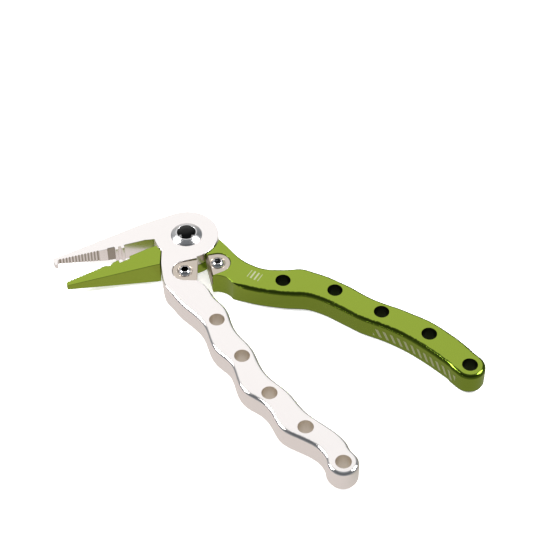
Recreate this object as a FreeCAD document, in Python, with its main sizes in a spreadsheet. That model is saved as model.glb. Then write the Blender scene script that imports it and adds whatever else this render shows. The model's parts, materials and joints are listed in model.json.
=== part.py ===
import FreeCAD, Part

import math
import os

import Sketcher

# Fishing pliers: two half-lapped levers on a pivot bolt, with screwed-in line cutters.
#
# Both levers are designed in the closed position, on one common frame: the pivot's axis is
# +Z, the closing line of the jaws runs along -X, the underside is at z = 0. The sub-parts
# are then turned about the pivot to the rest position, with the jaws fully open.

Vector = FreeCAD.Vector

os.makedirs("parts", exist_ok=True)
doc = FreeCAD.newDocument("fishing_pliers")

# ---------------------------------------------------------------------------
# Driving dimensions, in millimetres and degrees
# ---------------------------------------------------------------------------

SIZES = [
    # overall
    ("lever_thickness", 10.0, "thickness of each lever away from the lap"),
    ("closing_turn", 25.2, "turn of the green lever at rest, from the common frame"),
    ("opening_turn", 13.5, "how far the silver lever opens from the closed position"),
    # lap joint
    ("boss_radius", 12.8, "round boss of each lever about the pivot"),
    ("recess_clearance", 0.4, "between a boss and the other lever's recess"),
    ("lap_gap", 0.2, "between the two laps"),
    ("stop_reach", 9.55, "from the pivot to the silver shoulder that stops the opening"),
    ("stop_gap", 0.3, "between the shoulder and the green lever at rest"),
    ("seat_clearance", 0.02, "between pieces that are fastened together"),
    ("thread_clearance", 0.03, "between a screw and its threaded hole"),
    ("running_clearance", 0.05, "between the bolt and what turns on it"),
    # jaws
    ("silver_jaw_length", 53.8, "from the pivot to the silver tip"),
    ("green_jaw_length", 51.8, "from the pivot to the green tip"),
    ("silver_tip_height", 1.4, "from the closing line to the back of the silver tip"),
    ("silver_tip_drop", 0.5, "from the closing line down to the silver tip's foot"),
    ("green_tip_height", 2.2, "from the closing line to the back of the green tip"),
    ("green_tip_bevel", 0.5, "bevels on the green tip"),
    ("green_root_depth", 16.0, "from the pivot down to the green jaw's lower corner"),
    ("jaw_gap", 0.06, "from each row of teeth to the closing line"),
    ("throat_gap", 0.35, "from each jaw's throat to the closing line"),
    ("taper_start", 17.0, "from the pivot to where the jaws start to thin"),
    ("tip_thickness", 2.0, "thickness of the silver tip"),
    ("jaw_draft", 0.12, "lean of each small step in the jaws"),
    ("tooth_pitch", 1.25, "from tooth to tooth"),
    ("tooth_depth", 0.5, "depth of the teeth"),
    ("silver_teeth_start", 36.0, "from the pivot to the first silver tooth"),
    ("green_teeth_start", 37.6, "from the pivot to the first green tooth"),
    ("teeth_land", 1.0, "flat land before the first tooth of each jaw"),
    ("hook_height", 2.2, "how far the hook for split rings crosses the closing line"),
    ("hook_width", 1.1, "width of the hook's flat end"),
    ("hook_clearance", 0.3, "between the hook and the green tip"),
    ("tab_start", 25.2, "from the pivot to the crimping tab"),
    ("tab_length", 3.8, "length of the crimping tab"),
    ("tab_height", 1.2, "how far the tab crosses the closing line"),
    ("tab_clearance", 0.35, "round the tab in the green jaw's recess"),
    ("tab_groove_width", 1.4, "groove across the tab"),
    ("crimp_groove_width", 2.9, "groove in front of the tab"),
    ("crimp_groove_depth", 0.4, "depth of that groove"),
    ("notch_middle", 33.4, "from the pivot to the green jaw's notch"),
    ("notch_width", 3.6, "width of the notch"),
    ("notch_depth", 1.0, "depth of the notch"),
    # grips
    ("silver_pitch", 20.4, "from hole to hole along the silver grip"),
    ("green_pitch", 20.8, "from hole to hole along the green grip"),
    ("hole_radius", 3.0, "holes through the grips"),
    ("silver_grip_across", 4.27, "from the pivot to the silver grip's start, across the line"),
    ("silver_grip_drop", 2.12, "from the silver ledge down to the grip's start"),
    ("green_grip_across", 16.03, "from the pivot to the green grip's start, across the line"),
    ("green_grip_drop", -4.52, "from the green ledge down to the grip's start"),
    ("silver_half_width", 5.8, "mean half width of the silver grip"),
    ("green_half_width", 6.0, "mean half width of the green grip"),
    ("silver_edge_round", 1.8, "rounding along the silver grip"),
    ("green_edge_round", 1.7, "rounding along the green grip"),
    ("edge_break", 0.25, "rounding where the levers' edges start"),
    # cutters
    ("cutting_line_reach", 5.15, "from the pivot to the line where the cutters meet"),
    ("cutting_line_turn", 102.2, "direction of that line, clockwise from +X"),
    ("cutter_gap", 0.08, "from each cutting edge to that line"),
    ("cutter_radius", 4.9, "round back of the plates"),
    ("cutter_thickness", 5.0, "thickness of the plates"),
    ("cutter_sink", 0.4, "how far the plates lie below the lever's face"),
    ("cutter_bevel", 0.95, "width of the bevel on the plates' edges"),
    ("cutter_long_end", 6.1, "from the screw to the plate's long corner"),
    ("silver_edge_reach", 4.85, "from the screw to the silver plate's edge"),
    ("green_edge_reach", 3.9, "from the screw to the green plate's edge"),
    ("silver_screw_reach", 6.5, "from the boss to the silver screw, along the line"),
    ("green_screw_reach", 4.8, "from the boss to the green screw, along the line"),
    ("cutter_overhang", 0.5, "how far the plates' edges stand out of the levers"),
    ("pocket_clearance", 0.12, "round the plates in their pockets"),
    ("pocket_relief", 0.5, "further room at the silver plate's long corner"),
    ("pocket_run_out", 4.0, "how far the pockets are cut past the plates' edges"),
    ("ledge_lap", 0.05, "how far the pockets reach into the ledges under them"),
    ("ledge_width", 0.7, "ledge of the silver lever under its cutter"),
    # cutter screws
    ("screw_radius", 1.5, "thread of the cutter screws"),
    ("screw_head_radius", 2.75, "button heads"),
    ("screw_head_height", 1.65, "button heads"),
    ("screw_head_rim", 0.2, "upright rim of the heads"),
    ("screw_head_flat", 1.55, "flat on top of the heads, round the socket"),
    ("screw_length", 7.5, "under the head"),
    ("screw_chamfer", 0.4, "end of the thread"),
    ("screw_end_clearance", 0.5, "below each screw in its hole"),
    ("screw_seat_depth", 0.4, "counterbore in the plates"),
    ("screw_seat_clearance", 0.3, "round the head in the counterbore"),
    ("screw_socket_width", 2.5, "across the flats of the socket"),
    ("screw_socket_depth", 1.1, "socket in the head"),
    # pivot
    ("bolt_radius", 3.0, "shoulder of the pivot bolt"),
    ("bolt_thread_radius", 2.5, "threaded end of the bolt"),
    ("bolt_head_radius", 3.65, "head under the cap"),
    ("bolt_head_height", 0.7, "head under the cap"),
    ("bolt_socket_width", 2.5, "across the flats of the socket"),
    ("bolt_socket_depth", 1.6, "socket in the head"),
    ("bolt_head_clearance", 0.1, "round the head in the ring"),
    ("ring_radius", 6.25, "foot of the conical ring"),
    ("ring_top_radius", 4.15, "top of the conical ring"),
    ("ring_height", 1.5, "height of the conical ring"),
    ("ring_rim", 0.15, "upright rim at the ring's foot"),
    ("ring_floor", 0.6, "ring under the bolt's head"),
    ("cap_radius", 3.6, "black cap"),
    ("cap_rim", 0.15, "upright rim of the cap"),
    ("cap_rise", 1.05, "dome of the cap"),
    ("cap_plug_radius", 1.1, "plug of the cap, in the bolt's socket"),
    ("cap_plug_length", 0.8, "plug of the cap"),
    ("nut_radius", 5.5, "flush nut in the underside"),
    ("nut_height", 2.2, "flush nut"),
    ("nut_floor", 0.8, "nut under the bolt's end"),
    ("nut_hole_radius", 0.75, "holes for the pin spanner"),
    ("nut_hole_reach", 3.8, "from the pivot to each spanner hole"),
    ("nut_hole_depth", 1.2, "spanner holes"),
    ("bush_wall", 1.0, "wall of the bush"),
    ("washer_gap", 0.02, "above each thrust washer"),
    ("front_washer_width", 2.7, "from the bolt to the washer's rim"),
    ("front_washer_depth", 0.4, "recess under the ring"),
    ("lap_washer_width", 1.8, "from the bolt to the washer's rim"),
    ("lap_washer_depth", 0.5, "recess in the green lap"),
    # return spring
    ("spring_wire_radius", 0.4, "wire of the torsion spring"),
    ("spring_inner_clearance", 1.15, "between the bush and the coil"),
    ("spring_turns", 2.25, "turns"),
    ("spring_lead", 0.86, "rise of each turn"),
    ("spring_bend_radius", 0.8, "bend from the coil to each tang"),
    ("spring_tang_length", 0.9, "straight end of each tang"),
    ("spring_pocket_clearance", 1.0, "outside the coil"),
    ("spring_end_clearance", 0.15, "above and below the coil"),
    ("spring_hole_clearance", 0.15, "round and beyond each tang"),
    # construction
    ("cut_over", 1.0, "how far cutting profiles reach past the surfaces they cut"),
]

# numbers of teeth, and the heading of each pitch of the grips' lines of holes
SILVER_TEETH = 12
GREEN_TEETH = 11
SILVER_HEADINGS = [-75.1, -72.8, -71.3, -61.6, -61.0]
GREEN_HEADINGS = [-52.0, -39.4, -57.3, -57.2, -71.7]

# the silver neck under the stop: how far it draws back from the stop's wall, and its drop
# below the silver ledge
SILVER_NECK = [(0.0, -10.3), (0.5, -5.3), (1.2, -0.8), (2.6, 3.7)]
# the green neck from the boss: how far out of the boss's rim it is, and its direction
GREEN_NECK = [(0.0, -33.3), (3.2, -43.0), (6.1, -48.9), (9.3, -52.9)]
# the scallop under the green cutter, at its middle and its foot: how far from the pivot
# across the cutting line, and the drop below the green ledge
GREEN_SCALLOP = [(8.7, 0.8), (12.6, 5.5)]

# lengths that count as nothing, and volumes that count as nothing
TINY = 1e-4
NO_VOLUME = 1e-3

sheet = doc.addObject("Spreadsheet::Sheet", "Sizes")
for row, (alias, number, meaning) in enumerate(SIZES, 1):
    sheet.set(f"A{row}", alias)
    sheet.set(f"B{row}", str(number))
    sheet.set(f"C{row}", meaning)
    sheet.setAlias(f"B{row}", alias)
doc.recompute()


ALIASES = {alias for alias, _, _ in SIZES}


def size(alias):
    """The number in the sheet's cell of that alias."""
    return float(getattr(sheet, alias))


def expression(text):
    """Puts the sheet's name before each alias in a formula."""
    words = text.replace("(", "( ").replace(")", " )").split()
    return " ".join("Sizes." + w if w in ALIASES else w for w in words)


# Heights that several sub-parts share, as formulas on the sheet
TOP = "lever_thickness"
LAP_LOW = "( lever_thickness / 2 - lap_gap / 2 )"
LAP_HIGH = "( lever_thickness / 2 + lap_gap / 2 )"
CUTTER_FLOOR = "( lever_thickness - cutter_sink - cutter_thickness )"
SCREW_SEAT = "( lever_thickness - cutter_sink - screw_seat_depth )"
RING_FOOT = "( lever_thickness + seat_clearance )"
HEAD_SEAT = "( lever_thickness + ring_floor + 2 * seat_clearance )"
HEAD_TOP = f"( {HEAD_SEAT} + bolt_head_height )"
BUSH_RADIUS = "( bolt_radius + running_clearance + bush_wall )"
COIL_RADIUS = f"( {BUSH_RADIUS} + spring_inner_clearance + spring_wire_radius )"
COIL_FOOT = f"( {LAP_HIGH} + spring_end_clearance + spring_wire_radius )"
COIL_HEIGHT = "( spring_turns * spring_lead )"
SPRING_ROOF = f"( {COIL_FOOT} + {COIL_HEIGHT} + spring_wire_radius + spring_end_clearance )"
TANG_REACH = "( spring_bend_radius + spring_tang_length )"


def amount(formula):
    """The value of a formula on the sheet, as a plain number."""
    result = sheet.evalExpression(expression(formula).replace("Sizes.", ""))
    return float(getattr(result, "Value", result))


# ---------------------------------------------------------------------------
# Small helpers for sketches and features
# ---------------------------------------------------------------------------

def new_body(label):
    body = doc.addObject("PartDesign::Body", label)
    body.Label = label
    return body


def new_sketch(body, name, plane="XY_Plane", height=None):
    """A sketch on one of the body's own planes, lifted by a formula."""
    sketch = body.newObject("Sketcher::SketchObject", name)
    planes = [f for f in body.Origin.OriginFeatures if f.Role == plane]
    sketch.AttachmentSupport = [(planes[0], "")]
    sketch.MapMode = "FlatFace"
    if height is not None:
        sketch.setExpression("AttachmentOffset.Base.z", expression(height))
    return sketch


def bind(sketch, constraint, formula):
    """Adds a dimension to a sketch and ties it to the sheet."""
    index = sketch.addConstraint(constraint)
    sketch.setExpression(f"Constraints[{index}]", expression(formula))


def add_circle(sketch, radius, x=0.0, y=0.0):
    """A circle whose radius is a formula, with its centre at a fixed place."""
    circle = Part.Circle(Vector(x, y, 0), Vector(0, 0, 1), amount(radius))
    index = sketch.addGeometry(circle, False)
    sketch.addConstraint(Sketcher.Constraint("DistanceX", -1, 1, index, 3, x))
    sketch.addConstraint(Sketcher.Constraint("DistanceY", -1, 1, index, 3, y))
    bind(sketch, Sketcher.Constraint("Radius", index, amount(radius)), radius)


def bulge(start, end, radius):
    """The arc from start to end that stands out to the right of the way between them."""
    chord = end - start
    rise = radius - math.sqrt(radius * radius - chord.Length**2 / 4)
    out = Vector(chord.y, -chord.x, 0).normalize()
    return Part.Arc(start, start + chord * 0.5 + out * rise, end)


def add_polygon(sketch, corners):
    """A closed profile, anticlockwise; each corner is two formulas.

    A third formula is the radius of an arc that stands out from there to the next corner.
    """
    points = [Vector(amount(corner[0]), amount(corner[1]), 0) for corner in corners]
    first = sketch.GeometryCount
    for i, corner in enumerate(corners):
        start, end = points[i], points[(i + 1) % len(points)]
        arc = len(corner) > 2
        edge = bulge(start, end, amount(corner[2])) if arc else Part.LineSegment(start, end)
        sketch.addGeometry(edge, False)
    for i, corner in enumerate(corners):
        after = first + (i + 1) % len(points)
        sketch.addConstraint(Sketcher.Constraint("Coincident", first + i, 2, after, 1))
        for kind, formula in zip(("DistanceX", "DistanceY"), corner[:2]):
            bind(sketch, Sketcher.Constraint(kind, -1, 1, first + i, 1, amount(formula)), formula)
        if len(corner) > 2:
            bind(sketch, Sketcher.Constraint("Radius", first + i, amount(corner[2])), corner[2])


def add_hexagon(sketch, width, x=0.0, y=0.0):
    """A regular hexagon, by its width across the flats."""
    reach = amount(width) / math.sqrt(3)
    corners = []
    for i in range(6):
        turn = math.radians(60 * i)
        corners.append(Vector(x + reach * math.cos(turn), y + reach * math.sin(turn), 0))
    for i in range(6):
        sketch.addGeometry(Part.LineSegment(corners[i], corners[(i + 1) % 6]), False)


def pad(body, sketch, length):
    feature = body.newObject("PartDesign::Pad", sketch.Name + "_pad")
    feature.Profile = sketch
    feature.setExpression("Length", expression(length))
    return feature


def pocket(body, sketch, depth, upwards=False, both_ways=False):
    """Cuts down from the sketch, or up; a cut that removes nothing is an error."""
    doc.recompute()
    before = body.Shape.Volume
    feature = body.newObject("PartDesign::Pocket", sketch.Name + "_cut")
    feature.Profile = sketch
    feature.setExpression("Length", expression(depth))
    feature.Reversed = upwards
    feature.Midplane = both_ways
    doc.recompute()
    if body.Shape.Volume > before - NO_VOLUME:
        raise RuntimeError(f"{feature.Name} cuts nothing")
    return feature


def turned(label, profile):
    """A body of revolution about Z; the profile's corners are (radius, height)."""
    body = new_body(label)
    sketch = new_sketch(body, label + "_profile", "XZ_Plane")
    add_polygon(sketch, profile)
    feature = body.newObject("PartDesign::Revolution", label + "_turning")
    feature.Profile = sketch
    feature.ReferenceAxis = (sketch, ["V_Axis"])
    feature.Angle = 360
    return body


# ---------------------------------------------------------------------------
# Plane geometry of the levers
# ---------------------------------------------------------------------------

def polar(radius, degrees):
    turn = math.radians(degrees)
    return Vector(radius * math.cos(turn), radius * math.sin(turn), 0)


LAST_STATION = 5
QUARTERS = 4


class GripLine:
    """The line of holes along a grip, by its start, its pitch and each pitch's heading.

    Station 1 is the first hole and station 5 the last one.
    """

    def __init__(self, start, pitch, headings):
        self.headings = headings
        self.points = [start]
        for heading in headings:
            self.points.append(self.points[-1] + polar(pitch, heading))

    def at(self, station):
        """The point of the line, and the unit vector along it."""
        start = min(int(station), len(self.points) - 2)
        step = self.points[start + 1] - self.points[start]
        place = self.points[start] + step * (station - start)
        middle = station - 0.5
        low = math.floor(middle)
        last = len(self.headings) - 1
        before = self.headings[max(0, min(low, last))]
        after = self.headings[max(0, min(low + 1, last))]
        return place, polar(1.0, before + (after - before) * (middle - low))

    def side(self, station, reach):
        """A point beside the line: to its left where reach is positive."""
        place, along = self.at(station)
        return place + Vector(-along.y, along.x, 0) * reach

    def holes(self):
        return self.points[1:]


class Side:
    """One side of a grip: the points of its neck, then how far it stands out from the
    mean half width at every quarter pitch, from its first quarter to the last hole.

    heading is the direction in which the side starts, and ramp gives the numbers of the
    two points between which the edge's rounding grows.
    """

    def __init__(self, neck, heading, first_quarter, swell, ramp):
        self.neck = neck
        self.start = polar(1, heading)
        self.first_quarter = first_quarter
        self.swell = swell
        self.ramp = ramp

    def points(self, line, half_width, sign):
        found = list(self.neck)
        for i, extra in enumerate(self.swell):
            station = (self.first_quarter + i) / QUARTERS
            found.append(line.side(station, sign * (half_width + extra)))
        return found


def smooth(points, start, end):
    """One smooth curve through the points, with its directions at both ends."""
    curve = Part.BSplineCurve()
    curve.interpolate(points, InitialTangent=start, FinalTangent=end)
    return curve


def lines(points):
    return [Part.LineSegment(a, b) for a, b in zip(points, points[1:])]


def split(curve, points):
    """The parts of a curve, cut at some of its points."""
    cuts = [curve.FirstParameter, *[curve.parameter(p) for p in points]]
    cuts.append(curve.LastParameter)
    parts = []
    for low, high in zip(cuts, cuts[1:]):
        part = curve.copy()
        part.segment(low, high)
        parts.append(part)
    return parts


def boss_arc(start, end):
    """The boss's rim from one point to another, anticlockwise."""
    first = math.degrees(math.atan2(start.y, start.x))
    last = math.degrees(math.atan2(end.y, end.x))
    while last < first:
        last += 360
    middle = polar(size("boss_radius"), (first + last) / 2)
    return Part.Arc(start, middle, end)


def grip_edges(line, half_width, right, left):
    """The right side of a grip going down, its round end and its left side going up.

    Also gives, for the points where the edge's rounding changes, 0 or 1 for its two
    radii.
    """
    centre, along = line.at(LAST_STATION)
    across = Vector(-along.y, along.x, 0)
    stride = (line.points[1] - line.points[0]).Length / QUARTERS
    runs, marks = [], []
    for side, sign in ((right, -1), (left, 1)):
        points = side.points(line, half_width, sign)
        curve = smooth(points, side.start * stride, along * stride)
        foot, crown = side.ramp
        runs.append(split(curve, [points[i] for i in side.ramp if i > 0]))
        marks += [(points[0], 0), (points[foot], 0), (points[crown], 1), (points[-1], 1)]
    down, up = runs
    end = Part.Arc(
        centre - across * half_width, centre + along * half_width, centre + across * half_width
    )
    for piece in up:
        piece.reverse()
    return [*down, end, *up[::-1]], marks


def cutting_place(offset, along):
    """A point by its distance from the pivot across the cutting line, and along it."""
    turn = size("cutting_line_turn")
    return polar(offset, 90 - turn) + polar(along, -turn)


def silver_ledge():
    """How far the silver ledge is from the pivot, along the cutting line."""
    back = size("boss_radius") + size("silver_screw_reach") + size("cutter_radius")
    return back + size("pocket_clearance") - size("ledge_lap")


def green_ledge():
    """How far the green ledge is from the pivot, along the cutting line."""
    back = size("boss_radius") + size("green_screw_reach") + size("cutter_long_end")
    return back + size("pocket_clearance") - size("ledge_lap")


def stop_place(distance, drop, turn):
    """A point by its distance from the pivot to the stop's wall, and down along it."""
    return polar(distance, 180 - turn) + polar(drop, 270 - turn)


def teeth(start, count, side):
    """The points of a row of teeth; side is +1 above the closing line, -1 below."""
    crest, root = size("jaw_gap"), size("jaw_gap") + size("tooth_depth")
    pitch = size("tooth_pitch")
    points = []
    for i in range(count):
        points.append(Vector(-start - i * pitch, side * root, 0))
        points.append(Vector(-start - (i + 0.5) * pitch, side * crest, 0))
    points.append(Vector(-start - count * pitch, side * root, 0))
    return points


def silver_jaw():
    """The silver jaw's outline from its tangent with the boss to its throat."""
    reach, tip = size("silver_jaw_length"), size("silver_tip_height")
    hook = size("green_jaw_length") + size("hook_clearance")
    crest, throat, draft = size("jaw_gap"), size("throat_gap"), size("jaw_draft")
    land = size("silver_teeth_start") - size("teeth_land")
    flute = size("tab_groove_width") / 2
    tab, tab_end = size("tab_start"), size("tab_start") + size("tab_length")
    tab_middle = (tab + tab_end) / 2
    groove = tab_end + size("crimp_groove_width")
    corner = Vector(-reach, tip, 0)
    away = math.degrees(math.acos(size("boss_radius") / corner.Length))
    tangent = polar(size("boss_radius"), math.degrees(corner.getAngle(Vector(1, 0, 0))) - away)
    profile = [
        (-reach, -size("silver_tip_drop")),
        (-hook - draft - size("hook_width"), -size("hook_height")),
        (-hook - draft, -size("hook_height")),
        (-hook, crest),
    ]
    row = [(p.x, p.y) for p in teeth(size("silver_teeth_start"), SILVER_TEETH, 1)]
    profile += row[::-1]
    profile += [
        (-land, crest),
        (-groove - draft, crest),
        (-groove, crest + size("crimp_groove_depth")),
        (-tab_end - draft, crest + size("crimp_groove_depth")),
        (-tab_end, -size("tab_height")),
        (-tab_middle - flute, -size("tab_height")),
        (-tab_middle - flute + draft, crest),
        (-tab_middle + flute - draft, crest),
        (-tab_middle + flute, -size("tab_height")),
        (-tab, -size("tab_height")),
        (-tab, throat),
        (-math.sqrt(size("boss_radius") ** 2 - throat**2), throat),
    ]
    return [tangent, corner, *[Vector(x, y, 0) for x, y in profile]]


def green_jaw(root):
    """The green jaw's outline from its throat round its tip to its lower corner."""
    reach, tip = size("green_jaw_length"), size("green_tip_height")
    nose = size("green_tip_bevel")
    land = size("green_teeth_start") - size("teeth_land")
    crest, throat = size("jaw_gap"), size("throat_gap")
    recess = size("tab_start") - size("tab_clearance")
    recess_end = size("tab_start") + size("tab_length") + size("tab_clearance")
    floor = size("tab_height") + size("tab_clearance")
    notch, half = size("notch_middle"), size("notch_width") / 2
    profile = [
        (-math.sqrt(size("boss_radius") ** 2 - throat**2), -throat),
        (-recess, -throat),
        (-recess, -floor),
        (-recess_end, -floor),
        (-recess_end, -crest),
        (-notch + half, -crest),
        (-notch, -crest - size("notch_depth")),
        (-notch - half, -crest),
        (-land, -crest),
    ]
    row = teeth(size("green_teeth_start"), GREEN_TEETH, -1)
    profile += [(p.x, p.y) for p in row]
    profile += [
        (-reach + nose / 2, -crest - nose),
        (-reach, -crest - 2 * nose),
        (-reach, -tip + nose / 2),
        (-reach + nose / 2, -tip),
    ]
    return [*[Vector(x, y, 0) for x, y in profile], root]


def silver_outline():
    """The silver lever's outline, anticlockwise from the top of its stop shoulder."""
    turn = size("closing_turn") - size("opening_turn")
    boss, stop, ledge = size("boss_radius"), size("stop_reach"), silver_ledge()
    right = Side(
        neck=[stop_place(stop - inset, ledge + drop, turn) for inset, drop in SILVER_NECK],
        heading=270 - turn,
        first_quarter=0,
        swell=[
            4.3, 3.7, 2.3, 0.7, 0.0, 0.9, 1.8, 1.3, -0.1, 0.6, 1.9,
            1.9, -0.3, -0.7, 0.6, 1.5, 0.2, -1.7, -2.8, -1.8, 0.0,
        ],
        ramp=(2, 5),
    )
    shoulder = [stop_place(stop, math.sqrt(boss**2 - stop**2), turn), right.neck[0]]
    back = size("cutting_line_reach") - size("cutter_gap") - size("cutter_overhang")
    blade = [
        cutting_place(back + size("ledge_width"), ledge),
        cutting_place(back, ledge),
        cutting_place(back, math.sqrt(boss**2 - back**2)),
    ]
    left = Side(
        neck=[blade[0]],
        heading=-62,
        first_quarter=0,
        swell=[
            -3.4, -1.8, -1.2, 0.0, -0.3, -1.4, -1.5, -0.7, -0.5, -1.4, -1.9,
            -1.3, 0.1, 0.2, -0.4, -0.7, 0.0, 0.9, 1.5, 1.0, 0.0,
        ],
        ramp=(1, 3),
    )
    grip, marks = grip_edges(SILVER_GRIP, size("silver_half_width"), right, left)
    jaw = silver_jaw()
    edges = [
        Part.LineSegment(*shoulder),
        *grip,
        *lines(blade),
        boss_arc(blade[-1], jaw[0]),
        *lines(jaw),
        boss_arc(jaw[-1], shoulder[0]),
    ]
    return edges, marks


def green_outline():
    """The green lever's outline, anticlockwise from the foot of its cutter."""
    turn, boss = size("closing_turn"), size("boss_radius")
    stop = size("stop_reach") + size("stop_gap")
    face = size("cutting_line_reach") + size("cutter_gap") + size("cutter_overhang")
    ledge = green_ledge()
    blade = [cutting_place(face, math.sqrt(boss**2 - face**2)), cutting_place(face, ledge)]
    scallop = [cutting_place(across, ledge + drop) for across, drop in GREEN_SCALLOP]
    right = Side(
        neck=[scallop[1]],
        heading=-58,
        first_quarter=2,
        swell=[
            3.7, 2.5, 0.9, 0.1, -0.9, -0.5, 0.7, 0.8, 0.9, 1.0,
            0.4, -0.2, -0.3, -0.1, 0.5, 0.0, -0.3, -0.4, 0.0,
        ],
        ramp=(0, 1),
    )
    left = Side(
        neck=[polar(boss + out, direction) for out, direction in GREEN_NECK],
        heading=-78,
        first_quarter=0,
        swell=[
            -2.6, -3.3, -3.2, -1.5, 1.0, 2.5, 2.0, 1.1, -0.5, -0.6, -1.2,
            -1.3, -0.8, -0.1, 0.2, 0.5, 0.1, 0.5, 0.6, 0.3, 0.0,
        ],
        ramp=(2, 5),
    )
    grip, marks = grip_edges(GREEN_GRIP, size("green_half_width"), right, left)
    wall = [
        stop_place(stop, size("green_root_depth"), turn),
        stop_place(stop, math.sqrt(boss**2 - stop**2), turn),
    ]
    jaw = green_jaw(wall[0])
    edges = [
        *lines(blade),
        Part.Arc(blade[1], scallop[0], scallop[1]),
        *grip,
        boss_arc(left.neck[0], jaw[0]),
        *lines(jaw),
        *lines(wall),
        boss_arc(wall[1], blade[0]),
    ]
    return edges, marks


SILVER_GRIP = GripLine(
    cutting_place(size("silver_grip_across"), silver_ledge() + size("silver_grip_drop")),
    size("silver_pitch"),
    SILVER_HEADINGS,
)
GREEN_GRIP = GripLine(
    cutting_place(size("green_grip_across"), green_ledge() + size("green_grip_drop")),
    size("green_pitch"),
    GREEN_HEADINGS,
)


def rounded_blank(name, outline, edge_round):
    """A lever's outline at full thickness, with the edges of its grip rounded."""
    edges, marks = outline
    sketch = doc.addObject("Sketcher::SketchObject", name + "_outline")
    sketch.addGeometry(edges, False)
    plate = doc.addObject("Part::Extrusion", name + "_plate")
    plate.Base = sketch
    plate.DirMode = "Custom"
    plate.Dir = Vector(0, 0, 1)
    plate.Solid = True
    plate.setExpression("LengthFwd", expression(TOP))
    doc.recompute()
    radii = (size("edge_break"), size(edge_round))

    def radius_at(point):
        for place, choice in marks:
            if math.hypot(place.x - point.x, place.y - point.y) < TINY:
                return radii[choice]
        return None

    chosen = []
    for number, edge in enumerate(plate.Shape.Edges, 1):
        ends = [edge.valueAt(edge.FirstParameter), edge.valueAt(edge.LastParameter)]
        level = abs(ends[0].z - ends[1].z) < TINY
        sizes = [radius_at(p) for p in ends]
        if level and None not in sizes:
            chosen.append((number, *sizes))
    blank = doc.addObject("Part::Fillet", name + "_blank")
    blank.Base = plate
    blank.Edges = chosen
    return blank


def lever(label, blank, grip, turn):
    """A lever as a body on its rounded blank: jaw taper, holes and pivot bore."""
    body = new_body(label)
    body.BaseFeature = blank
    doc.recompute()
    # both faces of the jaw slope towards the tip
    end = "0 - silver_jaw_length - cut_over"
    slope = "(lever_thickness - tip_thickness) / 2 / (silver_jaw_length - taper_start)"
    drop = f"{slope} * (silver_jaw_length + cut_over - taper_start)"
    taper = new_sketch(body, label + "_taper", "XZ_Plane")
    add_polygon(taper, [
        ("0 - taper_start", "lever_thickness"),
        ("0 - taper_start", "lever_thickness + cut_over"),
        (end, "lever_thickness + cut_over"),
        (end, f"lever_thickness - {drop}"),
    ])
    add_polygon(taper, [
        ("0 - taper_start", "0"),
        (end, drop),
        (end, "0 - cut_over"),
        ("0 - taper_start", "0 - cut_over"),
    ])
    pocket(body, taper, "silver_jaw_length", both_ways=True)
    holes = new_sketch(body, label + "_holes")
    for hole in grip.holes():
        add_circle(holes, "hole_radius", hole.x, hole.y)
    pocket(body, holes, TOP, upwards=True)
    body.Placement.Rotation = FreeCAD.Rotation(Vector(0, 0, 1), turn)
    return body


def plate_outline(edge_reach, margin=0.0, open_side=0.0, relief=0.0):
    """A cutter plate's outline about its screw: round back, straight edge to the right.

    The edge's upper corner is the long one. A pocket has the same outline with a margin
    all round, and is open past the edge.
    """
    radius = size("cutter_radius") + margin
    edge = size(edge_reach) + open_side
    corner = Vector(size(edge_reach), size("cutter_long_end") + margin + relief, 0)
    lean = math.degrees(math.atan2(corner.y, corner.x) + math.acos(radius / corner.Length))
    tangent, foot = polar(radius, lean), Vector(0, -radius, 0)
    slope = (corner.y - tangent.y) / (corner.x - tangent.x)
    far = Vector(edge, corner.y + slope * (edge - corner.x), 0)
    low = Vector(edge, -radius, 0)
    back = Part.Arc(tangent, polar(radius, (lean + 270) / 2), foot)
    return [back, Part.LineSegment(foot, low), Part.LineSegment(low, far),
            Part.LineSegment(far, tangent)]


def plate_place(screw_reach, edge_reach, side):
    """Where a plate's screw is, and the turn of its own frame, on the common frame.

    side is -1 where the plate lies between the pivot and the cutting line, +1 beyond.
    """
    offset = size("cutting_line_reach") + side * (size("cutter_gap") + size(edge_reach))
    place = cutting_place(offset, size("boss_radius") + size(screw_reach))
    turn = 90 - size("cutting_line_turn") + (180 if side > 0 else 0)
    return FreeCAD.Placement(place, FreeCAD.Rotation(Vector(0, 0, 1), turn))


def cut_cutter_pocket(body, name, edge_reach, place, relief=0.0):
    """The open pocket for a plate in a lever's upper face, and its screw's hole."""
    margin, run_out = size("pocket_clearance"), size("pocket_run_out")
    outline = plate_outline(edge_reach, margin, run_out, relief)
    seat = new_sketch(body, name + "_pocket", height=TOP)
    seat.addGeometry([placed(edge, place) for edge in outline], False)
    pocket(body, seat, "cutter_sink + cutter_thickness")
    hole = new_sketch(body, name + "_screw_hole", height=CUTTER_FLOOR)
    add_circle(hole, "screw_radius + thread_clearance", place.Base.x, place.Base.y)
    pocket(body, hole, f"screw_length + screw_end_clearance + {CUTTER_FLOOR} - {SCREW_SEAT}")


def placed(edge, place):
    """A copy of a line or arc, moved to a placement."""
    moved = edge.copy()
    moved.transform(place.toMatrix())
    return moved


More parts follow.
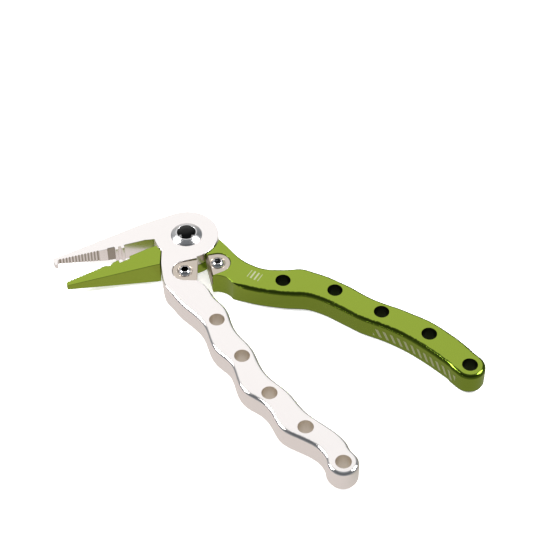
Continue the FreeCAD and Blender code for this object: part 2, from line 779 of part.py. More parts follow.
def cutter(label, edge_reach, upper_bevel):
    """A ground cutting plate: half of its edge's height is upright, half is bevelled."""
    body = new_body(label)
    outline = new_sketch(body, label + "_outline")
    outline.addGeometry(plate_outline(edge_reach), False)
    pad(body, outline, "cutter_thickness")
    bevel = new_sketch(body, label + "_bevel", "XZ_Plane")
    far, inner = f"{edge_reach} + cut_over", f"{edge_reach} - cutter_bevel"
    if upper_bevel:
        face, beyond = "cutter_thickness", "cutter_thickness + cut_over"
    else:
        face, beyond = "0", "0 - cut_over"
    corners = [
        (edge_reach, "cutter_thickness / 2"),
        (far, "cutter_thickness / 2"),
        (far, beyond),
        (inner, beyond),
        (inner, face),
    ]
    add_polygon(bevel, corners if upper_bevel else corners[::-1])
    pocket(body, bevel, "4 * cutter_long_end", both_ways=True)
    seat = new_sketch(body, label + "_seat", height="cutter_thickness")
    add_circle(seat, "screw_head_radius + screw_seat_clearance")
    pocket(body, seat, "screw_seat_depth")
    hole = new_sketch(body, label + "_hole", height="cutter_thickness")
    add_circle(hole, "screw_radius + thread_clearance")
    pocket(body, hole, "cutter_thickness")
    return body


def cutter_screw(label):
    """A button head screw, standing on the level of its seat."""
    body = turned(label, [
        ("0", "0 - screw_length"),
        ("screw_radius - screw_chamfer", "0 - screw_length"),
        ("screw_radius", "screw_chamfer - screw_length"),
        ("screw_radius", "0"),
        ("screw_head_radius", "0"),
        ("screw_head_radius", "screw_head_rim", "screw_head_radius"),
        ("screw_head_flat", "screw_head_height"),
        ("0", "screw_head_height"),
    ])
    socket = new_sketch(body, label + "_socket", height="screw_head_height")
    add_hexagon(socket, "screw_socket_width")
    pocket(body, socket, "screw_socket_depth")
    return body


# ---------------------------------------------------------------------------
# The levers' own cuts
# ---------------------------------------------------------------------------

silver_turn = size("closing_turn") - size("opening_turn")
green_turn = size("closing_turn")
silver_plate = plate_place("silver_screw_reach", "silver_edge_reach", -1)
green_plate = plate_place("green_screw_reach", "green_edge_reach", 1)
silver_posed = FreeCAD.Placement(Vector(), FreeCAD.Rotation(Vector(0, 0, 1), silver_turn))
green_posed = FreeCAD.Placement(Vector(), FreeCAD.Rotation(Vector(0, 0, 1), green_turn))

silver_blank = rounded_blank("silver", silver_outline(), "silver_edge_round")
green_blank = rounded_blank("green", green_outline(), "green_edge_round")
silver_lever = lever("silver_lever", silver_blank, SILVER_GRIP, silver_turn)
green_lever = lever("green_lever", green_blank, GREEN_GRIP, green_turn)

# each lever's boss is half as thick as the lever: silver above, green below
silver_lap = new_sketch(silver_lever, "silver_lap")
add_circle(silver_lap, "boss_radius + recess_clearance")
pocket(silver_lever, silver_lap, LAP_HIGH, upwards=True)
green_lap = new_sketch(green_lever, "green_lap", height=TOP)
add_circle(green_lap, "boss_radius + recess_clearance")
pocket(green_lever, green_lap, LAP_HIGH)

relief = size("pocket_relief")
cut_cutter_pocket(silver_lever, "silver_cutter", "silver_edge_reach", silver_plate, relief)
cut_cutter_pocket(green_lever, "green_cutter", "green_edge_reach", green_plate)

# the silver boss: bush, front washer and the return spring's pocket
bore = new_sketch(silver_lever, "silver_bore", height=TOP)
add_circle(bore, BUSH_RADIUS + " + seat_clearance")
pocket(silver_lever, bore, TOP)
FRONT_WASHER = "bolt_radius + front_washer_width"
front_seat = new_sketch(silver_lever, "front_washer_seat", height=TOP)
add_circle(front_seat, FRONT_WASHER + " + seat_clearance")
pocket(silver_lever, front_seat, "front_washer_depth")
spring_seat = new_sketch(silver_lever, "spring_seat", height=SPRING_ROOF)
add_circle(spring_seat, f"{COIL_RADIUS} + spring_wire_radius + spring_pocket_clearance")
pocket(silver_lever, spring_seat, TOP)

# the green boss: bolt, lap washer and the flush nut
bore = new_sketch(green_lever, "green_bore", height=TOP)
add_circle(bore, "bolt_radius + seat_clearance")
pocket(green_lever, bore, TOP)
LAP_WASHER = "bolt_radius + lap_washer_width"
lap_seat = new_sketch(green_lever, "lap_washer_seat", height=LAP_LOW)
add_circle(lap_seat, LAP_WASHER + " + seat_clearance")
pocket(green_lever, lap_seat, "lap_washer_depth")
nut_seat = new_sketch(green_lever, "nut_seat")
add_circle(nut_seat, "nut_radius + seat_clearance")
pocket(green_lever, nut_seat, "nut_height + seat_clearance", upwards=True)

# ---------------------------------------------------------------------------
# Return spring: a coil round the bush, with a tang down into the green boss and a tang
# up into the silver one
# ---------------------------------------------------------------------------

def spring_path():
    """The middle of the wire, and the two tangs' places seen from above."""
    radius, lead = amount(COIL_RADIUS), size("spring_lead")
    height, foot = amount(COIL_HEIGHT), amount(COIL_FOOT)
    coil = Part.makeHelix(lead, height, radius)
    coil.translate(Vector(0, 0, foot))
    climb = Vector(0, 2 * math.pi * radius, lead).normalize()
    turn = 360 * size("spring_turns")
    ends = (
        (Vector(radius, 0, foot), climb * -1, Vector(0, 0, -1)),
        (polar(radius, turn) + Vector(0, 0, foot + height),
         FreeCAD.Rotation(Vector(0, 0, 1), turn).multVec(climb), Vector(0, 0, 1)),
    )
    bend, straight = size("spring_bend_radius"), size("spring_tang_length")
    edges, places = [], []
    for start, along, out in ends:
        # the bend starts in the coil's own direction and ends upright
        inward = (out - along * out.dot(along)).normalize()
        middle = start + inward * bend
        side = Vector(along.x, along.y, 0).normalize()
        corner = middle + side * bend
        halfway = middle + (side - out).normalize() * bend
        tip = corner + out * straight
        edges.append([Part.Arc(start, halfway, corner).toShape(),
                      Part.LineSegment(corner, tip).toShape()])
        places.append(corner)
    wire = Part.Wire([*edges[0][::-1], *coil.Edges, *edges[1]])
    return wire, places


def return_spring(path):
    """The wire swept along its path."""
    first = path.OrderedEdges[0]
    start = path.OrderedVertexes[0].Point
    direction = first.tangentAt(first.FirstParameter)
    section = Part.Wire(Part.makeCircle(size("spring_wire_radius"), start, direction))
    spring = doc.addObject("Part::Feature", "return_spring")
    spring.Label = "return_spring"
    spring.Shape = path.makePipeShell([section], True, True)
    return spring


wire_path, tangs = spring_path()
spring = return_spring(wire_path)
tang_hole = "spring_wire_radius + spring_hole_clearance"
foot_hole = new_sketch(green_lever, "spring_foot_hole", height=LAP_LOW)
place = green_posed.inverse().multVec(tangs[0])
add_circle(foot_hole, tang_hole, place.x, place.y)
pocket(green_lever, foot_hole, f"{TANG_REACH} - {COIL_FOOT} + {LAP_LOW} + spring_hole_clearance")
crown_hole = new_sketch(silver_lever, "spring_crown_hole", height=SPRING_ROOF)
place = silver_posed.inverse().multVec(tangs[1])
add_circle(crown_hole, tang_hole, place.x, place.y)
pocket(
    silver_lever,
    crown_hole,
    f"{TANG_REACH} - spring_wire_radius - spring_end_clearance + spring_hole_clearance",
    upwards=True,
)

# ---------------------------------------------------------------------------
# Cutters and their screws
# ---------------------------------------------------------------------------

sets = (
    ("silver", "silver_edge_reach", False, silver_posed.multiply(silver_plate)),
    ("green", "green_edge_reach", True, green_posed.multiply(green_plate)),
)
for colour, edge_reach, upper_bevel, place in sets:
    plate = cutter(colour + "_cutter", edge_reach, upper_bevel)
    screw = cutter_screw(colour + "_cutter_screw")
    for body, level in ((plate, CUTTER_FLOOR + " + seat_clearance"),
                        (screw, SCREW_SEAT + " + 2 * seat_clearance")):
        body.Placement = place
        body.setExpression("Placement.Base.z", expression(level))

# ---------------------------------------------------------------------------
# Pivot, from the top down
# ---------------------------------------------------------------------------

# black cap: a dome on a short rim, with a plug that fills the bolt's socket
cap_foot = HEAD_TOP + " + seat_clearance"
dome_radius = "(cap_radius * cap_radius + cap_rise * cap_rise) / (2 * cap_rise)"
cap = turned("pivot_cap", [
    ("0", cap_foot + " - cap_plug_length"),
    ("cap_plug_radius", cap_foot + " - cap_plug_length"),
    ("cap_plug_radius", cap_foot),
    ("cap_radius", cap_foot),
    ("cap_radius", cap_foot + " + cap_rim", dome_radius),
    ("0", cap_foot + " + cap_rim + cap_rise"),
])

ring = turned("pivot_ring", [
    ("bolt_radius + seat_clearance", RING_FOOT),
    ("ring_radius", RING_FOOT),
    ("ring_radius", RING_FOOT + " + ring_rim"),
    ("ring_top_radius", RING_FOOT + " + ring_height"),
    ("bolt_head_radius + bolt_head_clearance", RING_FOOT + " + ring_height"),
    ("bolt_head_radius + bolt_head_clearance", RING_FOOT + " + ring_floor"),
    ("bolt_radius + seat_clearance", RING_FOOT + " + ring_floor"),
])

BOLT_FOOT = "nut_floor + seat_clearance"
SHOULDER = "nut_height + seat_clearance * 2"
bolt = turned("pivot_bolt", [
    ("0", BOLT_FOOT),
    ("bolt_thread_radius", BOLT_FOOT),
    ("bolt_thread_radius", SHOULDER),
    ("bolt_radius", SHOULDER),
    ("bolt_radius", HEAD_SEAT),
    ("bolt_head_radius", HEAD_SEAT),
    ("bolt_head_radius", HEAD_TOP),
    ("0", HEAD_TOP),
])
socket = new_sketch(bolt, "pivot_bolt_socket", height=HEAD_TOP)
add_hexagon(socket, "bolt_socket_width")
pocket(bolt, socket, "bolt_socket_depth")

nut = turned("pivot_nut", [
    ("0", "0"),
    ("nut_radius", "0"),
    ("nut_radius", "nut_height"),
    ("bolt_thread_radius + thread_clearance", "nut_height"),
    ("bolt_thread_radius + thread_clearance", "nut_floor"),
    ("0", "nut_floor"),
])
spanner = new_sketch(nut, "spanner_holes")
for side in (-1, 1):
    add_circle(spanner, "nut_hole_radius", side * size("nut_hole_reach"), 0.0)
pocket(nut, spanner, "nut_hole_depth", upwards=True)

BUSH_FOOT = LAP_HIGH + " + washer_gap"
front_floor = TOP + " - front_washer_depth"
bush = turned("pivot_bush", [
    ("bolt_radius + running_clearance", BUSH_FOOT),
    (BUSH_RADIUS, BUSH_FOOT),
    (BUSH_RADIUS, front_floor),
    ("bolt_radius + running_clearance", front_floor),
])
front_washer = turned("front_washer", [
    ("bolt_radius + running_clearance", front_floor + " + washer_gap"),
    (FRONT_WASHER, front_floor + " + washer_gap"),
    (FRONT_WASHER, TOP + " - washer_gap"),
    ("bolt_radius + running_clearance", TOP + " - washer_gap"),
])
lap_floor = LAP_LOW + " - lap_washer_depth"
lap_washer = turned("lap_washer", [
    ("bolt_radius + running_clearance", lap_floor + " + washer_gap"),
    (LAP_WASHER, lap_floor + " + washer_gap"),
    (LAP_WASHER, LAP_HIGH + " - washer_gap"),
    ("bolt_radius + running_clearance", LAP_HIGH + " - washer_gap"),
])

# ---------------------------------------------------------------------------
# Check and write
# ---------------------------------------------------------------------------

NODES = [
    "silver_lever",
    "green_lever",
    "silver_cutter",
    "green_cutter",
    "silver_cutter_screw",
    "green_cutter_screw",
    "pivot_cap",
    "pivot_ring",
    "pivot_bolt",
    "pivot_nut",
    "pivot_bush",
    "front_washer",
    "lap_washer",
    "return_spring",
]

doc.recompute()
for thing in doc.Objects:
    if "Invalid" in thing.State or "Error" in thing.State:
        raise RuntimeError(f"{thing.Name} failed: {thing.State}")
for label in NODES:
    shape = doc.getObjectsByLabel(label)[0].Shape
    if shape.isNull() or not shape.isValid() or len(shape.Solids) != 1:
        raise RuntimeError(f"{label} is not one valid solid")
for label in NODES:
    shape = doc.getObjectsByLabel(label)[0].Shape
    shape.exportStep(f"parts/{label}.step")
    print(f"{label}: {shape.Volume:.1f} mm3")
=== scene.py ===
import json
import math
from typing import NamedTuple

import bmesh
import bpy
import numpy as np
from bpy.props import FloatProperty, FloatVectorProperty, PointerProperty, StringProperty
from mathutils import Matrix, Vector


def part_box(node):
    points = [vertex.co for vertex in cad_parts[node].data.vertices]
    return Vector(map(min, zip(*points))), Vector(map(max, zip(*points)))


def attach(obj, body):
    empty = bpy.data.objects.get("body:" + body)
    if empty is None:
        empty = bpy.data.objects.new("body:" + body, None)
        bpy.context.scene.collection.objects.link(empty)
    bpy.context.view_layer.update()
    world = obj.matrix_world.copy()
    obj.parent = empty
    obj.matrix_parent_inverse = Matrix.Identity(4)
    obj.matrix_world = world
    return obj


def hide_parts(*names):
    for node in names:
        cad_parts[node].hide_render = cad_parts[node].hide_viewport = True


bl_info = {
    "name": "Fishing pliers",
    "version": (1, 0, 0),
    "blender": (4, 5, 0),
    "location": "View3D > Sidebar > Pliers",
    "description": "Finishes the surfaces of a pair of fishing pliers and sets their stage",
    "category": "Object",
}

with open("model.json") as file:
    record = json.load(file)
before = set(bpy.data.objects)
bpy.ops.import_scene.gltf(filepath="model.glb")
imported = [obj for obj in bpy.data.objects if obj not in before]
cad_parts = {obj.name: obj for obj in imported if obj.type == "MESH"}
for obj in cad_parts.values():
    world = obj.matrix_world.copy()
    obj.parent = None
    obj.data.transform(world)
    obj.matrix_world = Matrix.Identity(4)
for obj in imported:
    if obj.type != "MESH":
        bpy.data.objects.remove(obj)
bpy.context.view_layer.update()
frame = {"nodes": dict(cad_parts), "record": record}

MM = 0.001
SILVER_BODY = "silver_side"
GREEN_BODY = "green_side"

# A cut edge sharper than this gets a small break; a smoother one is part of a curve
SHARP_ANGLE = math.radians(32)
# Facets of one flat face lie within this angle of each other
FLAT_ANGLE = math.radians(0.15)
# Corners of neighbouring triangles that are one point lie within this distance
MERGE_REACH = 0.01 * MM
# Rows of faces across a break
BREAK_STEPS = 2
# Teeth and other fine steps have short edges with tight corners, and stay crisp
FINE_LENGTH = 1.3 * MM
TIGHT_TURN = math.radians(35)
# Faces within this angle of each other are shaded as one surface
SMOOTH_ANGLE = math.radians(50)
# How far a face's normal points up or down on the flat faces, and on upright walls
FLAT_RISE = 0.99
WALL_RISE = 0.02
# The same, for where the satin finish of the flat faces and of the walls fades out
FACE_FADE = (0.965, 0.985)
WALL_FADE = (0.08, 0.25)
# Roughness of a polished rounding
POLISH = 0.11
# A pattern's roughness varies by this share either way
SATIN_CHANGE = 0.1
SMEAR_CHANGE = 0.15
# Sizes of the patterns: the blasted grain, and the smears of handling
GRAIN = 0.4 * MM
SMEAR = 3 * MM
# Grinding lines are this many times longer than their spacing
LINE_STRETCH = 25
LINE_DEPTH = 0.01 * MM
# Roughness of ground steel, from its smoothest to its roughest lines
GROUND_GLOSS = (0.22, 0.42)
# Radius of the round holes along the grips
HOLE_RADIUS = MM * next(
    mount["dims"]["r_mm"] for mount in frame["record"]["mounts"]
    if mount["name"] == "green_lanyard_hole"
)
# Faces of one hole share an axis: how closely, how many at least, and the most that their
# normals' mean may be
AXIS_REACH = 0.12 * MM
AXIS_SHARERS = 12
AXIS_LEAN = 0.4
# The way each jaw's gripping line points from the pivot, and the side its jaw lies on
SILVER_LINE = math.radians(191.7)
GREEN_LINE = math.radians(205.2)
SILVER_SIDE = -1
GREEN_SIDE = 1
# The painted shade in the jaws' roots and grooves lies between these distances from the gripping
# line
GROOVE_START = 0.1 * MM
GROOVE_END = 0.5 * MM
GROOVE_BACK = 1.1 * MM
# The toothed part of the jaws begins this far from the pivot
JAW_START = 25 * MM
# Height of the laps that rub on each other, and how far the painted shade on them reaches
LAP_HEIGHT = 4.9 * MM
LAP_REACH = 0.7 * MM
LAP_LEAN = 0.1
# The white panel's middle direction, and the angles of its even core and its edge
PANEL_WAY = Vector((-0.15, math.cos(math.radians(40)), math.sin(math.radians(40)))).normalized()
PANEL_CORE = math.radians(8)
PANEL_EDGE = math.radians(50)
PANEL_POWER = 1.04
# The room's light by height: a height from 0 to 1, and an sRGB code
ROOM_LEVELS = (
    (0.0, "9A9DA0"), (0.3, "888B8E"), (0.55, "62666A"), (0.85, "5E6266"), (1.0, "92969A")
)
# The floor's spill of light falls off this way, from its start to its end
SPILL_WAY = (0.82, 0.57, 0.0)
SPILL_START = -25 * MM
SPILL_END = 10 * MM
# The floor reaches this far each way, a hair below the object
FLOOR_REACH = 3.0
FLOOR_DROP = 0.05 * MM
# The two soft boxes: how far out and up they stand, how wide they are, their watts, and
# the point that they face
BOX_OUT = 0.62
BOX_UP = 0.62
BOX_WIDTH = 0.36
BOX_WATTS = 9.0
BOX_TARGET = (0.0, -0.04, 0.01)


class EtchedRow(NamedTuple):
    """A row of etched bars, in millimetres and degrees.

    The row starts at a point in X and Y and runs the way of its turn. Along it, across it
    and in height it lies within a reach of a middle, and so does its face's normal.
    """

    start: tuple
    turn: float
    pitch: float
    slant: float
    along: tuple
    across: tuple
    height: tuple
    facing: tuple


BADGE_ROW = EtchedRow(
    start=(27.5, -22.0), turn=-30.0, pitch=1.7, slant=0.0, along=(0.0, 2.5),
    across=(0.0, 2.0), height=(10.0, 0.5), facing=("Z", 1.0, 0.3),
)
GRIP_ROW = EtchedRow(
    start=(74.0, -45.0), turn=-39.2, pitch=3.0, slant=0.5, along=(19.0, 19.0),
    across=(0.0, 12.0), height=(4.6, 1.9), facing=("Y", -0.8, 0.45),
)
# A bar's middle and half width, as shares of the pitch
BAR = (0.5, 0.2)


class LeverLooks(bpy.types.PropertyGroup):
    """The two anodised levers."""

    silver: StringProperty(
        name="Silver", description="Clear anodised aluminium, as an sRGB code", default="F7F2F0"
    )
    green: StringProperty(
        name="Green", description="Lime anodised aluminium, as an sRGB code", default="93A83E"
    )
    # painted reflection: the lime roundings are drawn darker to stand for the dark room that they
    # mirror
    green_painted_edge_reflection: StringProperty(
        name="Green edges", description="Lime edges with painted dark reflection, as an sRGB code",
        default="5E7422",
    )
    silver_bore: StringProperty(
        name="Silver holes", description="Drilled holes of the silver grip, as an sRGB code",
        default="E0D8CC",
    )
    # painted shade: the lime holes are drawn dark for the shade inside them
    green_bore_painted_shade: StringProperty(
        name="Green holes", description="Holes of the green grip, darkened by painted shade, as an sRGB code",
        default="232E0C",
    )
    etched: StringProperty(
        name="Etching", description="Laser-etched marks, as an sRGB code", default="C9CDA8"
    )
    # painted shade: these colours darken the laps between the levers and the jaw's grooves, where
    # shade falls
    silver_painted_shade: StringProperty(
        name="Silver painted shade", description="Painted shade on the silver lever, as an sRGB code",
        default="9A9285",
    )
    green_painted_shade: StringProperty(
        name="Green painted shade", description="Painted shade on the green lever, as an sRGB code",
        default="232A0E",
    )
    roughness: FloatProperty(
        name="Roughness", description="Roughness of the anodised faces", default=0.24,
        min=0.0, max=1.0, subtype="FACTOR",
    )
    edge_break: FloatProperty(
        name="Edge break", description="Width of the broken edges", default=0.18 * MM,
        min=0.0, unit="LENGTH", precision=5,
    )


class SteelLooks(bpy.types.PropertyGroup):
    """The cutters, the screws and the pivot."""

    ground: StringProperty(
        name="Ground steel", description="Cutting plates, as an sRGB code", default="C9BEB2"
    )
    polished: StringProperty(
        name="Polished steel", description="Screws, ring and bolt, as an sRGB code",
        default="D6D5D6",
    )
    cap: StringProperty(
        name="Cap", description="Black cap of the pivot, as an sRGB code", default="030303"
    )
    grinding: FloatProperty(
        name="Grinding lines", description="Spacing of the grinding lines", default=0.12 * MM,
        min=0.0, unit="LENGTH", precision=5,
    )
    edge_break: FloatProperty(
        name="Edge break", description="Width of the broken edges", default=0.1 * MM,
        min=0.0, unit="LENGTH", precision=5,
    )


class InsideLooks(bpy.types.PropertyGroup):
    """The pieces inside the pivot."""

    bronze: StringProperty(
        name="Bush", description="Sintered bronze, as an sRGB code", default="B98A55"
    )
    acetal: StringProperty(
        name="Washers", description="White acetal, as an sRGB code", default="E6E4DA"
    )
    wire: StringProperty(
        name="Spring", description="Drawn spring steel, as an sRGB code", default="A7A7A9"
    )


class StageLooks(bpy.types.PropertyGroup):
    """The floor, the lights and the camera."""

    floor: StringProperty(
        name="Floor", description="The plain floor, as an sRGB code", default="FFFFFF"
    )
    spill_near: StringProperty(
        name="Spill, left", description="Light that the floor throws back on the left",
        default="DDD6D2",
    )
    spill_far: StringProperty(
        name="Spill, right", description="Light that the floor throws back on the right",
        default="B4B2A8",
    )
    panel: StringProperty(
        name="Panel", description="The white panel, as an sRGB code", default="FFFFFF"
    )
    lens: FloatProperty(
        name="Lens", description="Focal length of the camera, in millimetres", default=111.3,
        min=10.0, unit="CAMERA",
    )
    camera_place: FloatVectorProperty(
        name="Camera", description="Where the camera stands", size=3, unit="LENGTH",
        default=(0.0354, -0.4670, 0.5045),
    )
    camera_tilt: FloatProperty(
        name="Tilt", description="Turn of the camera up from straight down",
        default=math.radians(42), subtype="ANGLE",
    )


# ---------------------------------------------------------------------------
# Colours and nodes
# ---------------------------------------------------------------------------

def linear(code):
    """The linear colour of an sRGB code: each channel by the standard curve."""
    channels = np.array([int(code[i:i + 2], 16) for i in (0, 2, 4)]) / 255
    curved = np.where(channels <= 0.04045, channels / 12.92, ((channels + 0.055) / 1.055) ** 2.4)
    return (*curved.tolist(), 1.0)


def add(tree, kind, values=None, links=None, **settings):
    """Adds a shader node with its settings, its inputs' values and their links."""
    made = tree.nodes.new(kind)
    for name, value in settings.items():
        setattr(made, name, value)
    for name, value in (values or {}).items():
        made.inputs[name].default_value = value
    for name, socket in (links or {}).items():
        tree.links.new(socket, made.inputs[name])
    return made


def new_material(name):
    """A material with an empty tree, and that tree."""
    made = bpy.data.materials.new(name)
    made.use_nodes = True
    made.node_tree.nodes.clear()
    return made, made.node_tree


def close_material(tree, shader):
    """Gives the material its shader."""
    add(tree, "ShaderNodeOutputMaterial", links={"Surface": shader.outputs["BSDF"]})


# ---------------------------------------------------------------------------
# Materials
# ---------------------------------------------------------------------------

def region(tree, limits):
    """A mask that is 1 where every value lies within its reach of its middle."""
    mask = None
    for value, middle, reach in limits:
        near = add(tree, "ShaderNodeMath", {1: middle, 2: reach}, {0: value},
                   operation="COMPARE").outputs["Value"]
        mask = near if mask is None else add(
            tree, "ShaderNodeMath", links={0: mask, 1: near}, operation="MULTIPLY"
        ).outputs["Value"]
    return mask


def groove_shade(tree, place, wall, line, side):
    """A mask of painted shade in the jaw's grooves: the far parts of its gripping wall.

    Along the gripping line runs X of the turned coordinates, and Y is the distance from it.
    """
    turned = add(tree, "ShaderNodeMapping", {"Rotation": (0.0, 0.0, -line)},
                 {"Vector": place.outputs["Object"]})
    parts = add(tree, "ShaderNodeSeparateXYZ", links={"Vector": turned.outputs["Vector"]})
    depth = add(tree, "ShaderNodeMapRange",
                {"From Min": side * GROOVE_START, "From Max": side * GROOVE_END},
                {"Value": parts.outputs["Y"]})
    jaw = add(tree, "ShaderNodeMath", {1: JAW_START}, {0: parts.outputs["X"]},
              operation="GREATER_THAN")
    near = region(tree, [(parts.outputs["Y"], 0.0, GROOVE_BACK)])
    mask = depth.outputs["Result"]
    for other in (wall, jaw.outputs["Value"], near):
        mask = add(tree, "ShaderNodeMath", links={0: mask, 1: other},
                   operation="MULTIPLY").outputs["Value"]
    return mask


def etched_row(tree, place, slope, row):
    """A mask of one row of bars.

    In coordinates turned and moved to the row's start, with X along it, the bars are the
    middle part of every pitch. A bar leans along the row by its slant times its height.
    """
    turn = math.radians(row.turn)
    way = np.array([[math.cos(turn), math.sin(turn)], [-math.sin(turn), math.cos(turn)]])
    moved = -way @ np.array(row.start) * MM
    turned = add(tree, "ShaderNodeMapping",
                 {"Rotation": (0.0, 0.0, -turn), "Location": (*moved.tolist(), 0.0)},
                 {"Vector": place.outputs["Object"]})
    parts = add(tree, "ShaderNodeSeparateXYZ", links={"Vector": turned.outputs["Vector"]})
    leaning = add(tree, "ShaderNodeMath", {1: row.slant},
                  {0: parts.outputs["Z"], 2: parts.outputs["X"]}, operation="MULTIPLY_ADD")
    bars = add(tree, "ShaderNodeMath", {1: 1 / (row.pitch * MM)},
               {0: leaning.outputs["Value"]}, operation="MULTIPLY")
    share = add(tree, "ShaderNodeMath", links={0: bars.outputs["Value"]}, operation="FRACT")
    axis, middle, reach = row.facing
    limits = [(share.outputs["Value"], *BAR), (slope.outputs[axis], middle, reach)]
    for way, (middle, reach) in (("X", row.along), ("Y", row.across), ("Z", row.height)):
        limits.append((parts.outputs[way], middle * MM, reach * MM))
    return region(tree, limits)


def etching(tree, place, slope):
    """A mask of the laser-etched bars: some on the top face, and a slanted row on the wall."""
    badge, grip = (etched_row(tree, place, slope, row) for row in (BADGE_ROW, GRIP_ROW))
    both = add(tree, "ShaderNodeMath", links={0: badge, 1: grip}, operation="MAXIMUM")
    return both.outputs["Value"]


def anodised_aluminium(name, code, roughness, painted_shade, edge, line, side, etched=None):
    """Anodised aluminium: metal under a clear or dyed oxide film.

    The film keeps the metal's colour in its reflections. The flat faces and the walls are
    blasted before the film grows, so they are satin; the rounded edges between them are
    polished and mirror the room, and on the lime lever their colour is darkened as a painted
    reflection of the dark room. The surface's own slope tells them apart. Painted shade
    darkens the laps that rub on each other, where the other lever shades them, and the jaw's
    grooves; etched marks are bare metal.
    """
    material, tree = new_material(name)
    place = add(tree, "ShaderNodeTexCoord")
    # the blasted grain is about 0.05 mm, too fine to show, so it is drawn coarser
    grain = add(tree, "ShaderNodeTexNoise", {"Scale": 1 / GRAIN, "Detail": 3.0},
                {"Vector": place.outputs["Object"]})
    satin = add(tree, "ShaderNodeMapRange",
                {"To Min": roughness * (1 - SATIN_CHANGE),
                 "To Max": roughness * (1 + SATIN_CHANGE)},
                {"Value": grain.outputs["Fac"]})
    slope = add(tree, "ShaderNodeSeparateXYZ", links={"Vector": place.outputs["Normal"]})
    height = add(tree, "ShaderNodeSeparateXYZ", links={"Vector": place.outputs["Object"]})
    upright = add(tree, "ShaderNodeMath", links={0: slope.outputs["Z"]}, operation="ABSOLUTE")
    face = add(tree, "ShaderNodeMapRange",
               {"From Min": FACE_FADE[0], "From Max": FACE_FADE[1]},
               {"Value": upright.outputs["Value"]})
    wall = add(tree, "ShaderNodeMapRange",
               {"From Min": WALL_FADE[0], "From Max": WALL_FADE[1],
                "To Min": 1.0, "To Max": 0.0},
               {"Value": upright.outputs["Value"]})
    flat = add(tree, "ShaderNodeMath",
               links={0: face.outputs["Result"], 1: wall.outputs["Result"]},
               operation="MAXIMUM")
    gloss = add(tree, "ShaderNodeMix", {"A": POLISH},
                {"Factor": flat.outputs["Value"], "B": satin.outputs["Result"]})
    # painted shade on the jaw's grooves and on the laps under the other lever
    grooves = groove_shade(tree, place, wall.outputs["Result"], line, side)
    lap = region(tree, [
        (height.outputs["Z"], LAP_HEIGHT, LAP_REACH), (upright.outputs["Value"], 1.0, LAP_LEAN),
    ])
    shade_mask = add(tree, "ShaderNodeMath", links={0: grooves, 1: lap}, operation="MAXIMUM")
    # the roundings take the edge colour; on the lime lever it is a painted reflection of the dark
    # room
    film_and_edge_reflection = add(tree, "ShaderNodeMix", {"A": linear(edge), "B": linear(code)},
               {"Factor": flat.outputs["Value"]}, data_type="RGBA")
    colour = add(tree, "ShaderNodeMix", {"B": linear(painted_shade)},
                 {"Factor": shade_mask.outputs["Value"], "A": film_and_edge_reflection.outputs["Result"]},
                 data_type="RGBA")
    if etched:
        colour = add(tree, "ShaderNodeMix", {"B": linear(etched)},
                     {"Factor": etching(tree, place, slope), "A": colour.outputs["Result"]},
                     data_type="RGBA")
    shader = add(tree, "ShaderNodeBsdfPrincipled", {"Metallic": 1.0},
                 {"Roughness": gloss.outputs["Result"], "Base Color": colour.outputs["Result"]})
    close_material(tree, shader)
    return material


def ground_steel(name, code, spacing):
    """Tool steel, surface-ground: fine lines along Y break its reflections up."""
    material, tree = new_material(name)
    place = add(tree, "ShaderNodeTexCoord")
    along = 1 / (LINE_STRETCH * spacing)
    stretched = add(tree, "ShaderNodeMapping",
                    {"Scale": (1 / spacing, along, along)},
                    {"Vector": place.outputs["Object"]})
    lines = add(tree, "ShaderNodeTexNoise", {"Scale": 1.0, "Detail": 2.0},
                {"Vector": stretched.outputs["Vector"]})
    gloss = add(tree, "ShaderNodeMapRange", {"To Min": GROUND_GLOSS[0], "To Max": GROUND_GLOSS[1]},
                {"Value": lines.outputs["Fac"]})
    depth = add(tree, "ShaderNodeBump", {"Strength": 0.15, "Distance": LINE_DEPTH},
                {"Height": lines.outputs["Fac"]})
    shader = add(tree, "ShaderNodeBsdfPrincipled",
                 {"Metallic": 1.0, "Base Color": linear(code)},
                 {"Roughness": gloss.outputs["Result"], "Normal": depth.outputs["Normal"]})
    close_material(tree, shader)
    return material


def plain_finish(name, code, metallic, roughness, specular=0.5):
    """A finish that is the same all over, with a faint change of gloss from handling."""
    material, tree = new_material(name)
    place = add(tree, "ShaderNodeTexCoord")
    smears = add(tree, "ShaderNodeTexNoise", {"Scale": 1 / SMEAR, "Detail": 1.0},
                 {"Vector": place.outputs["Object"]})
    gloss = add(tree, "ShaderNodeMapRange",
                {"To Min": roughness * (1 - SMEAR_CHANGE),
                 "To Max": roughness * (1 + SMEAR_CHANGE)},
                {"Value": smears.outputs["Fac"]})
    shader = add(tree, "ShaderNodeBsdfPrincipled",
                 {"Metallic": metallic, "Base Color": linear(code),
                  "Specular IOR Level": specular},
                 {"Roughness": gloss.outputs["Result"]})
    close_material(tree, shader)
    return material


# ---------------------------------------------------------------------------
# Finished pieces
# ---------------------------------------------------------------------------

def mark_bores(work):
    """Gives the faces of the round holes the second material.

    A hole's wall faces point at its axis from all round, so the point one radius ahead of
    each face's middle is the same for them all, and their normals cancel out.
    """
    walls = [face for face in work.faces if abs(face.normal.z) < WALL_RISE]
    ahead = np.array([
        (face.calc_center_median() + HOLE_RADIUS * face.normal)[:2] for face in walls
    ])
    ways = np.array([face.normal[:2] for face in walls])
    near = np.linalg.norm(ahead[:, None] - ahead[None], axis=2) < AXIS_REACH
    sharers = near.sum(axis=1)
    leaning = np.linalg.norm(near @ ways, axis=1) / sharers
    bores = (sharers >= AXIS_SHARERS) & (leaning < AXIS_LEAN)
    for face, is_bore in zip(walls, bores.tolist()):
        face.material_index = int(is_bore)


